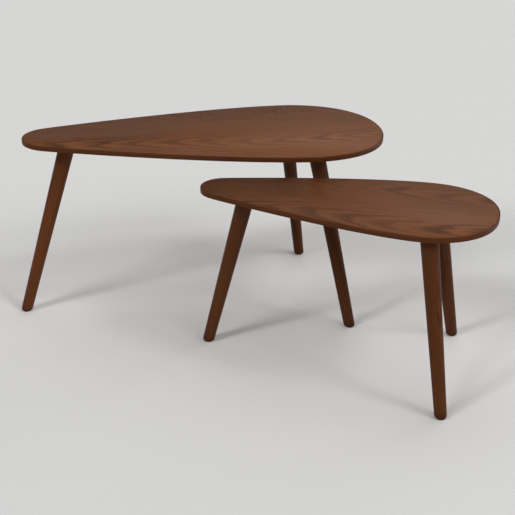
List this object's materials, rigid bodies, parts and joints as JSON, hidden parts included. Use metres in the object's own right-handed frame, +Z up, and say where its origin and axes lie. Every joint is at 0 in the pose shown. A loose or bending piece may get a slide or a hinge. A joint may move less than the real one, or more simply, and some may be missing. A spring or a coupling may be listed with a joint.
{
  "type": "nesting tables",
  "caption": "Set of nesting tables: teardrop walnut-stained tops on splayed, tapered round legs; the lower table slides in under the taller one.",
  "frame": {"origin": "on the floor, at the middle of the footprint of the two tables as they stand staggered", "axes": "+X along the large table's length towards its wide end, +Y away from the small table towards the rear legs, +Z up"},
  "size_m": [1.0857, 0.94, 0.45],
  "materials": {
    "face_veneer": "walnut-stained open-grain veneer under a matt lacquer",
    "backing_veneer": "plain walnut-stained balancing veneer, matt",
    "lipping": "walnut-stained solid lipping, matt lacquer",
    "core_board": "raw fibreboard core, hidden",
    "leg_wood": "turned hardwood, walnut stain, satin-matt lacquer",
    "plate_steel": "pressed zinc-plated steel",
    "fastener_steel": "zinc-plated steel",
    "glide_nylon": "dark brown nylon"
  },
  "bodies": {
    "large_table": {"large_top_core": "core_board", "large_top_face_veneer": "face_veneer", "large_top_backing_veneer": "backing_veneer", "large_top_lipping": "lipping", "large_leg_tip": "leg_wood", "large_leg_rear": "leg_wood", "large_leg_front": "leg_wood", "large_plate_tip": "plate_steel", "large_plate_rear": "plate_steel", "large_plate_front": "plate_steel", "large_bolt_tip": "fastener_steel", "large_bolt_rear": "fastener_steel", "large_bolt_front": "fastener_steel", "large_screws_tip": "fastener_steel", "large_screws_rear": "fastener_steel", "large_screws_front": "fastener_steel", "large_glide_tip": "glide_nylon", "large_glide_rear": "glide_nylon", "large_glide_front": "glide_nylon"},
    "small_table": {"small_top_core": "core_board", "small_top_face_veneer": "face_veneer", "small_top_backing_veneer": "backing_veneer", "small_top_lipping": "lipping", "small_leg_tip": "leg_wood", "small_leg_rear": "leg_wood", "small_leg_front": "leg_wood", "small_plate_tip": "plate_steel", "small_plate_rear": "plate_steel", "small_plate_front": "plate_steel", "small_bolt_tip": "fastener_steel", "small_bolt_rear": "fastener_steel", "small_bolt_front": "fastener_steel", "small_screws_tip": "fastener_steel", "small_screws_rear": "fastener_steel", "small_screws_front": "fastener_steel", "small_glide_tip": "glide_nylon", "small_glide_rear": "glide_nylon", "small_glide_front": "glide_nylon"}
  },
  "joints": [
    {"name": "small_table_slide", "type": "slide", "parent": "large_table", "child": "small_table", "axis": [-0.866, 0.5, 0], "range_m": [-0.25, 0.2]}
  ]
}
